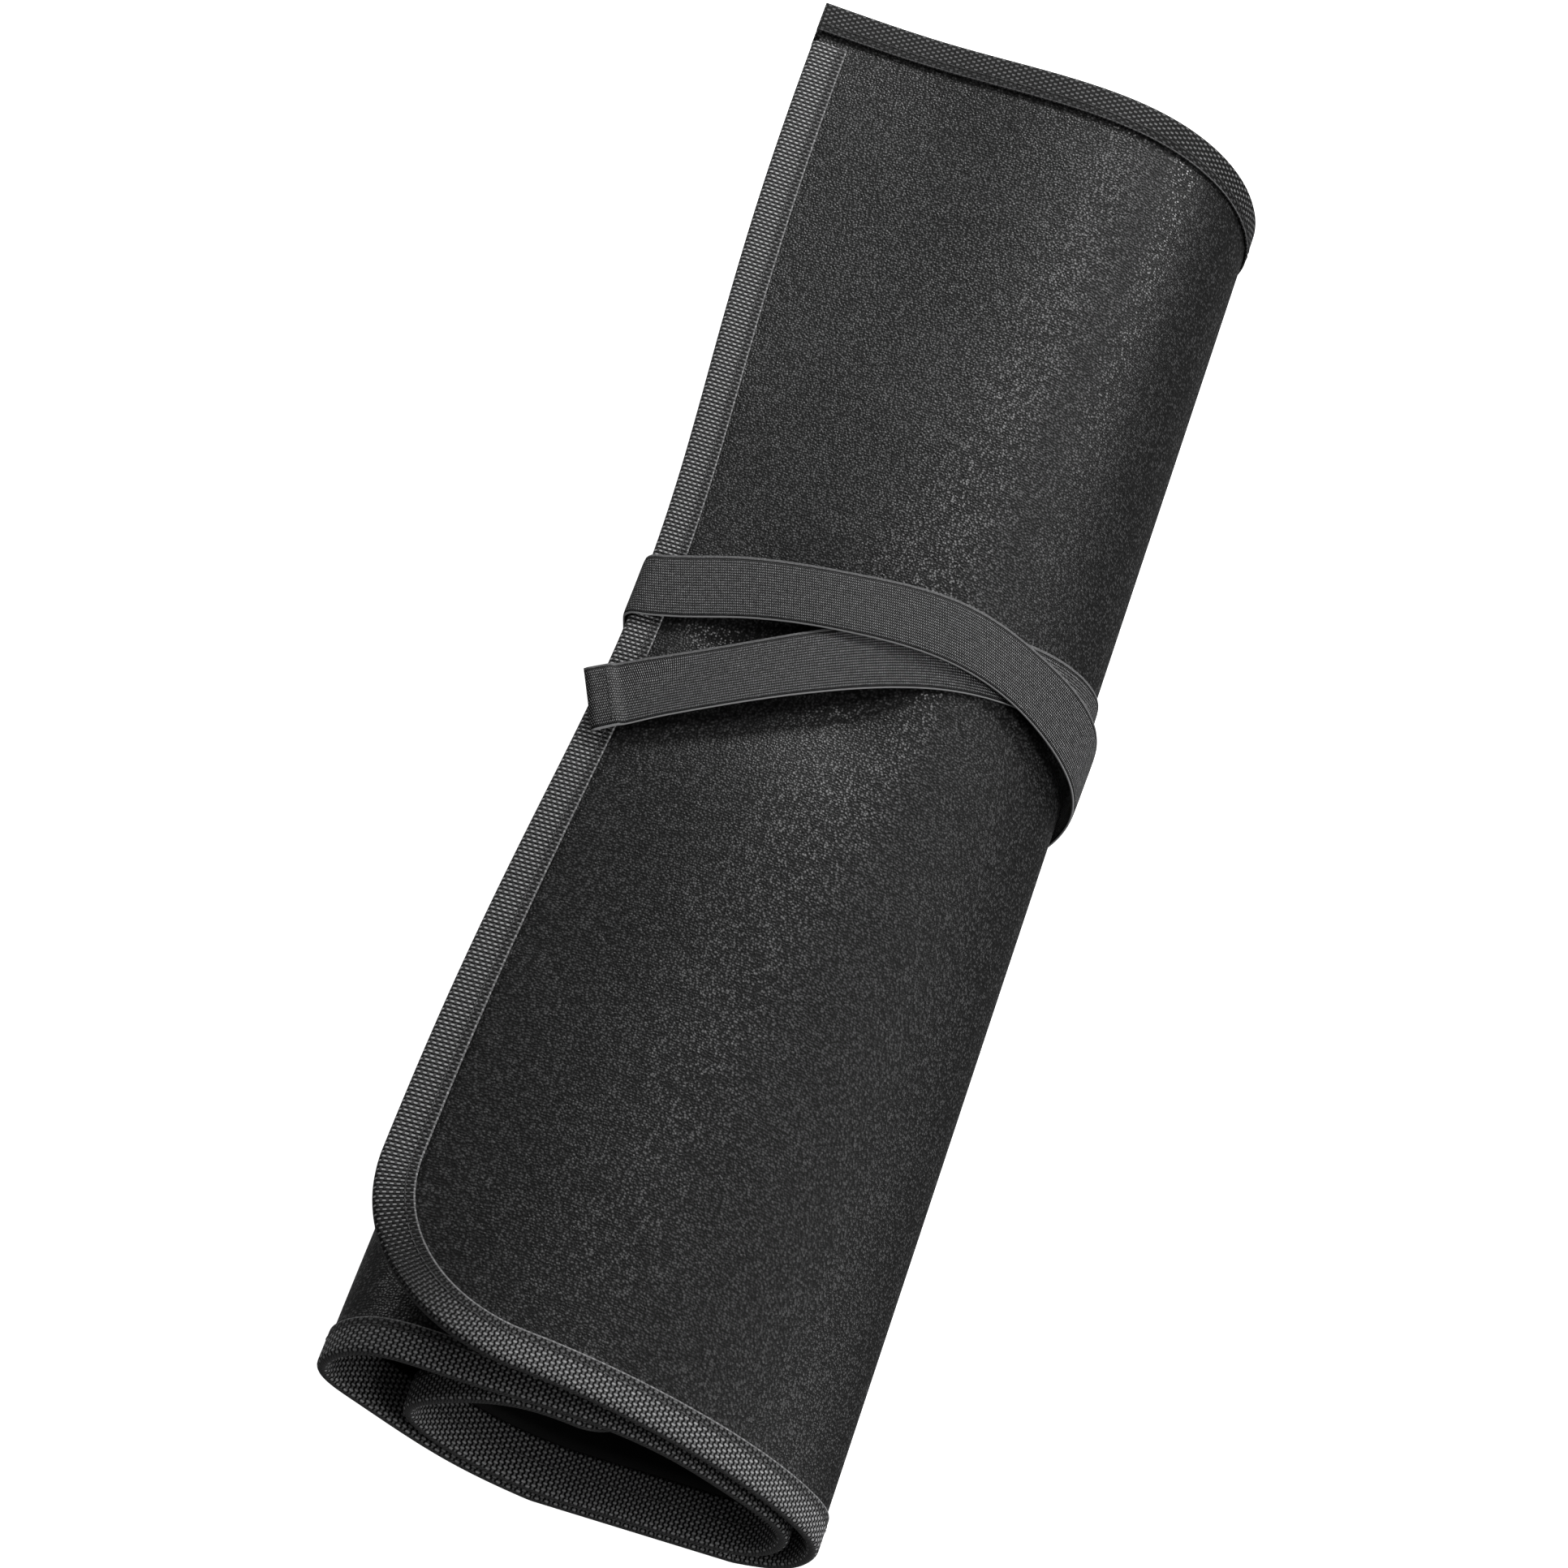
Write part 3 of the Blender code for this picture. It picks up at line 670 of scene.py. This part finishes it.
def stitches(name, rings, flat):
    """Small capsules, each of five rings of six points, from grids of stitch, ring and point."""
    index = np.arange(rings[..., 0].size).reshape(rings.shape[:3])
    beside = np.roll(index, -1, axis=2)
    sides = [index[:, :-1], index[:, 1:], beside[:, 1:], beside[:, :-1]]
    quads = np.stack(sides, axis=-1).reshape(-1, 4)
    ends = np.concatenate([index[:, 0], index[:, -1, ::-1]])
    place = flat.reshape(-1, 2)
    uv = np.concatenate([place[quads].reshape(-1, 2), place[ends].reshape(-1, 2)])
    faces = quads.tolist() + ends.tolist()
    mesh_piece(name, rings.reshape(-1, 3), faces, uv, thread, None)


def seam(name, line):
    """Stitches along a tape's line on both of its faces, set in from the fold."""
    along = length_along(line[:2].T)
    middles = np.arange(STITCH_PITCH, along[-1] - STITCH_PITCH, STITCH_PITCH)
    at = middles[:, None] + STITCH_LENGTH / 2 * RING_AT
    s, y, out_s, out_y = (np.interp(at, along, row)[..., None] for row in line)
    size = THREAD_RADIUS * RING_SIZE[:, None]
    aside, up = size * np.cos(RING_TURN) - SEAM_INSET, size * np.sin(RING_TURN)
    faces = [
        surface(s + out_s * aside, y + out_y * aside, side * EDGE_THICKNESS / 2 + up)
        for side in (1, -1)
    ]
    rings = np.concatenate(faces)
    rings[..., 2] = np.maximum(rings[..., 2], 0)
    flat = np.stack(np.broadcast_arrays(at[..., None], up), axis=-1)
    stitches(name, rings, np.concatenate([flat, flat]))


seam("front_tape_stitches", front_line)
seam("rear_tape_stitches", rear_line)

# The strap
# A 25 mm woven elastic that goes round the roll about one and two thirds times and crosses itself
# on top. Its free end is turned over and sewn double; its other end lies flat under the roll.
STRETCHED_WIDTH = 0.0228
HEM_LENGTH = 0.008
FREE_PART = 0.012
END_SLANT = 0.14
STRAP_STATION = 0.0012
ELASTIC_ROW = 0.00095
ELASTIC_STEP = 0.00057

STRAP_ROUTE = (
    # place, round, along, near edge off, far edge off
    ("free end", 0.0018, -0.059, 0, 0),
    ("crown, first pass", 0.112, -0.005, 1.5, 0),
    ("shoulder, first pass", 0.230, 0.048, 0, 0),
    ("slope, first pass", 0.312, 0.071, 0, 0),
    ("right fold, first pass", 0.400, 0.086, 0, 0),
    ("fold foot, first pass", 0.475, 0.092, 0, 0),
    ("under, first pass", 0.675, 0.074, 0, 0),
    ("left side", 0.923, 0.033, 0, 0),
    ("flap edge, second pass", 1.010, 0.0335, 0, 0),
    ("crown, second pass", 1.078, 0.0510, 0, 0),
    ("top, second pass", 1.172, 0.066, 1.0, 0.3),
    ("shoulder, second pass", 1.260, 0.074, 1.2, 0.8),
    ("slope, second pass", 1.335, 0.068, 2.2, 1.4),
    ("right fold, second pass", 1.398, 0.054, 3.3, 4.2),
    ("fold foot, second pass", 1.450, 0.046, 1.2, 1.2),
    ("floor, second pass", 1.520, 0.033, 0, 0),
    ("sewn end", 1.620, 0.014, 0, 0),
)


def elastic_look(start):
    """Fine weave of short strokes across the band, a thin cord along the near edge with a painted
    highlight, and a wider rough one along the far edge, with painted shade in a groove beside each
    cord."""
    place, along, across = pattern_place(start)
    row = across / ELASTIC_ROW
    stagger = row.math("FLOOR").math("MODULO", 2) * 0.5
    in_row = row.fraction() - 0.5
    in_step = (along / ELASTIC_STEP + stagger).fraction() - 0.5
    stroke = (1 - (in_row * in_row * 2.6 + in_step * in_step * 8.0)).rise(0.4, 1)
    uneven = place.node("TexNoise", sockets={"Vector": place, "Scale": 1500, "Detail": 2})
    patchy = place.node("TexNoise", sockets={"Vector": place, "Scale": 500, "Detail": 2})
    from_near, from_far = across + STRETCHED_WIDTH / 2, STRETCHED_WIDTH / 2 - across
    near_cord = 1 - from_near.rise(0.0002, 0.0003)
    far_cord = 1 - from_far.rise(0.0010, 0.0012)
    groove = from_far.rise(0.0011, 0.0012) * (1 - from_far.rise(0.0015, 0.0017))
    groove = groove + from_near.rise(0.0003, 0.0004) * (1 - from_near.rise(0.0006, 0.0008))
    # Painted shade: the weave is left out of the grooves beside the cords, so they stay near black.
    weave = stroke * (1 - near_cord) * (1 - far_cord) * (1 - groove)
    height = weave + near_cord + far_cord * (uneven + 0.4) - groove
    tone = weave * (uneven * 1.6 - 0.1) * (patchy * 1.4 + 0.3)
    # Painted highlight: the near cord gets a fixed bright tone.
    tone = tone + near_cord * 0.5 + far_cord * uneven * 0.4
    return {
        "Base Color": tone.mix((0.001, 0.001, 0.001), (0.68, 0.68, 0.69)),
        "Roughness": 0.6,
        "Specular IOR Level": 0.2,
        "Normal": height.bump(0.00024),
    }


elastic = material("elastic_weave", elastic_look)


def taut_line(y, count):
    """Points and outward normals round the roll at y, at even shares of the strap's girth. For
    each direction the roll's furthest point in it is touched; the strap lies one pitch off."""
    s = np.linspace(0, OUTER_TURN_LENGTH, 400)
    turn = np.linspace(-np.pi / 2, np.pi / 2, 25)
    edge = EDGE_THICKNESS / 2
    outline = np.concatenate(
        [
            surface(s, y, SHEET_THICKNESS / 2),
            surface(np.linspace(0, TAPE_OUTER_LEG, 12), y, edge),
            surface(-edge * np.cos(turn), y, edge * np.sin(turn)),
        ]
    )[:, [0, 2]]
    way = 0.75 * np.pi - np.linspace(0, 2 * np.pi, 1441)
    normal = np.stack([np.cos(way), np.sin(way)], axis=1)
    touch = outline[np.argmax(normal @ outline.T, axis=1)]
    girth = length_along(touch + STRAP_PITCH * normal)
    table = np.concatenate([touch, normal], axis=1)
    at = np.linspace(0, girth[-1], count)
    return np.stack([np.interp(at, girth, column) for column in table.T], axis=1), girth[-1]


def strap_surface():
    """The taut lines over the strap's stretch of the roll, as one table to read between."""
    y = np.linspace(STRAP_AT - 4 * STRAP_WIDTH, STRAP_AT + 4 * STRAP_WIDTH, 81)
    lines, girths = zip(*(taut_line(at, 1201) for at in y))
    return y, np.array(lines), float(np.mean(girths))


def strap_points(table, share, y, height):
    """Points height off the taut surface, round it by share, at y; straight on at the free end."""
    at_y, lines, girth = table
    row = (y - at_y[0]) / (at_y[1] - at_y[0])
    past = np.minimum(share - FREE_PART, 0) * girth
    column = (np.maximum(share, FREE_PART) % 1) * (lines.shape[1] - 1)
    i = np.clip(np.floor(row).astype(int), 0, lines.shape[0] - 2)
    j = np.minimum(np.floor(column).astype(int), lines.shape[1] - 2)
    u, v = (row - i)[..., None], (column - j)[..., None]
    near = (1 - v) * lines[i, j] + v * lines[i, j + 1]
    far = (1 - v) * lines[i + 1, j] + v * lines[i + 1, j + 1]
    x, z, nx, nz = np.moveaxis((1 - u) * near + u * far, -1, 0)
    size = np.hypot(nx, nz)
    nx, nz = nx / size, nz / size
    return np.stack([x + height * nx + past * nz, y, z + height * nz - past * nx], axis=-1)


def band_section():
    """The band's closed section in shares of its width and thickness: a flattened ring, squarer
    than an ellipse, so that both edges are round."""
    turn = np.linspace(0, 2 * np.pi, 73)[:-1]
    across = np.sign(np.cos(turn)) * np.abs(np.cos(turn)) ** 0.35 / 2
    up = np.sign(np.sin(turn)) * np.abs(np.sin(turn)) ** 0.5
    return across, up


def strap_route(table, spacing):
    """Places along the strap's middle line at even steps, and the way that the band heads there."""
    girth = table[2]
    rows = np.array([row[1:] for row in STRAP_ROUTE], float)
    rows = rows * (girth, ROLL_LENGTH, STRAP_PITCH, STRAP_PITCH)
    knots = length_along(rows[:, :2])
    fine = spline(knots, rows, np.linspace(0, knots[-1], 6000))
    line = strap_points(table, fine[:, 0] / girth, fine[:, 1], np.full(6000, STRAP_PITCH))
    lengths = length_along(line)
    at = np.linspace(0, lengths[-1], int(lengths[-1] / spacing))
    placed = np.stack([np.interp(at, lengths, column) for column in fine.T], axis=1)
    ahead = np.stack([np.gradient(placed[:, 0], at), np.gradient(placed[:, 1], at)], axis=1)
    ahead /= np.linalg.norm(ahead, axis=1)[:, None]
    return at, placed, ahead


def strap_ring(table, at, placed, ahead, across, up):
    """Points of the band at shares across its width and up its thickness. Rows lie square across
    it at the free end, and level round the roll beyond it. The hem is twice as thick, and the
    end of the fold is rounded over one thickness."""
    girth = table[2]
    stretched = smooth_step(at, HEM_LENGTH, 4 * HEM_LENGTH)[:, None]
    width = STRAP_WIDTH + stretched * (STRETCHED_WIDTH - STRAP_WIDTH)
    ahead_round, ahead_along = ahead[:, :1], ahead[:, 1:]
    slant = END_SLANT * ahead_round - ahead_along
    places = (placed[:, :1] + (1 - stretched) * slant * across * width) / girth
    level = ahead_round + stretched * ahead_along**2 / ahead_round
    y = placed[:, 1:2] + level * across * width
    near_off, far_off = placed[:, 2:3], placed[:, 3:4]
    off = np.maximum(near_off + (across + 0.5) * (far_off - near_off), 0)
    hem = 1 - smooth_step(at, HEM_LENGTH, HEM_LENGTH + 2 * STRAP_THICKNESS)[:, None]
    end_round = np.clip(at / STRAP_THICKNESS, 0, 1)[:, None]
    thick = STRAP_THICKNESS * (1 + hem) * np.sqrt(0.05 + 0.95 * end_round * (2 - end_round))
    middle = STRAP_THICKNESS * (1 + hem) / 2
    points = strap_points(table, places, y, STRAP_GAP + off + middle + thick * up / 2)
    points[..., 2] = np.maximum(points[..., 2], (STRAP_THICKNESS / 2) * (1 - up))
    return points


def elastic_strap(table, at, placed, ahead):
    """The band's section, carried along its route."""
    across, up = band_section()
    rings = strap_ring(table, at, placed, ahead, across, up)
    flat = np.stack(np.broadcast_arrays(at[:, None], across * STRETCHED_WIDTH), axis=-1)
    swept("woven_elastic_strap", rings, flat, elastic, "elastic_strap")


taut_table = strap_surface()
route = strap_route(taut_table, STRAP_STATION)
elastic_strap(taut_table, *route)

HEM_STITCHES = 8
HEM_STITCH_SHARE = 0.8
HEM_SEAM_INSET = 0.0012


def hem_stitches(table, at, placed, ahead):
    """A row of stitches across the hem on the band's upper face, close to where the fold ends."""
    middles = (np.arange(HEM_STITCHES) - (HEM_STITCHES - 1) / 2) * STITCH_PITCH * HEM_STITCH_SHARE
    half_long = HEM_STITCH_SHARE / 2 * STITCH_LENGTH
    size = THREAD_RADIUS * RING_SIZE[:, None]
    spots = np.broadcast_arrays(
        HEM_LENGTH - HEM_SEAM_INSET + size * np.cos(RING_TURN),
        (middles[:, None, None] + half_long * RING_AT[:, None]) / STRAP_WIDTH,
        1 + size * np.sin(RING_TURN) / STRAP_THICKNESS,
    )
    shape = spots[0].shape
    run, across, up = (spot.reshape(-1) for spot in spots)
    placed = np.stack([np.interp(run, at, column) for column in placed.T], axis=1)
    ahead = np.stack([np.interp(run, at, column) for column in ahead.T], axis=1)
    points = strap_ring(table, run, placed, ahead, across[:, None], up[:, None])
    flat = np.stack([run, across], axis=-1).reshape(*shape, 2)
    stitches("strap_hem_stitches", points.reshape(*shape, 3), flat)


hem_stitches(taut_table, *route)

# The studio
# A white floor under plain soft light, with the camera where the photograph's was: above the open
# near end, a little to the right, far off with a long lens, its top turned a little clockwise.
PICTURE_SIDE = 1932
FOCAL_PIXELS = 9850
SENSOR = 0.036
CAMERA_TURN = np.radians(8.8)
CAMERA_RISE = np.radians(57.4)
CAMERA_ROLL = np.radians(9.2)
CAMERA_DISTANCE = 2.5
AIM = np.array([0, 0, 0.0416]) + SHIFT
AIM_PIXEL = (1000, 930)
FLOOR_SIDE = 12
WORLD_GLOW = 0.14


def photo_camera():
    """Back is the way from the aim to the camera; right and up are turned about it by the roll."""
    back = np.array(
        [
            np.sin(CAMERA_TURN) * np.cos(CAMERA_RISE),
            -np.cos(CAMERA_TURN) * np.cos(CAMERA_RISE),
            np.sin(CAMERA_RISE),
        ]
    )
    level = np.array([np.cos(CAMERA_TURN), np.sin(CAMERA_TURN), 0])
    upright = np.cross(back, level)
    right = np.cos(CAMERA_ROLL) * level + np.sin(CAMERA_ROLL) * upright
    up = np.cos(CAMERA_ROLL) * upright - np.sin(CAMERA_ROLL) * level
    centre = PICTURE_SIDE / 2
    aside = (AIM_PIXEL[0] - centre) / FOCAL_PIXELS
    above = (centre - AIM_PIXEL[1]) / FOCAL_PIXELS
    place = AIM + CAMERA_DISTANCE * (back - aside * right - above * up)
    data = bpy.data.cameras.new("photo_camera")
    data.sensor_width = SENSOR * 1000
    data.lens = SENSOR * 1000 * FOCAL_PIXELS / PICTURE_SIDE
    data.clip_end = 20
    made = bpy.data.objects.new("photo_camera", data)
    bpy.context.scene.collection.objects.link(made)
    axes = Matrix([list(right), list(up), list(back)]).transposed().to_4x4()
    made.matrix_world = Matrix.Translation(Vector(place)) @ axes
    bpy.context.scene.camera = made


def floor_look(start):
    """A matt white card with a glow of its own, so that it stays white under weak lamps."""
    return {
        "Base Color": (0.9, 0.9, 0.9, 1),
        "Roughness": 0.95,
        "Specular IOR Level": 0.1,
        "Emission Color": (1, 1, 1, 1),
        "Emission Strength": 1.0,
    }


LAMPS = (
    # name, place, side, watts
    ("back_softbox", (0.20, 1.57, 0.66), 0.24, 15),
    ("back_right_softbox", (1.00, 1.27, 0.57), 0.3, 5),
    ("back_left_softbox", (-1.10, 1.10, 0.57), 0.3, 6.0),
    ("right_softbox", (1.62, -0.20, 0.50), 0.5, 14),
    ("front_right_softbox", (1.26, -0.70, 0.90), 0.5, 3.5),
    ("high_softbox", (0.50, 0.97, 1.35), 0.5, 1.4),
)


def studio():
    """The floor, a dim white world, and broad low lamps, the strongest behind the far end."""
    bpy.ops.mesh.primitive_plane_add(size=FLOOR_SIDE)
    floor = bpy.context.active_object
    floor.name = "studio_floor"
    # The floor throws no light back: the photograph's bag is dark along its foot.
    floor.visible_diffuse = floor.visible_glossy = False
    floor.data.materials.append(material("white_floor", floor_look))
    world = bpy.data.worlds.new("soft_white")
    world.use_nodes = True
    background = world.node_tree.nodes["Background"]
    background.inputs["Color"].default_value = (1, 1, 1, 1)
    background.inputs["Strength"].default_value = WORLD_GLOW
    bpy.context.scene.world = world
    bpy.context.scene.view_settings.view_transform = "Standard"
    for name, place, side, watts in LAMPS:
        data = bpy.data.lights.new(name, "AREA")
        data.size = side
        data.energy = watts
        lamp = bpy.data.objects.new(name, data)
        lamp.location = place
        lamp.rotation_euler = Vector(place).to_track_quat("Z", "Y").to_euler()
        bpy.context.scene.collection.objects.link(lamp)


photo_camera()
studio()
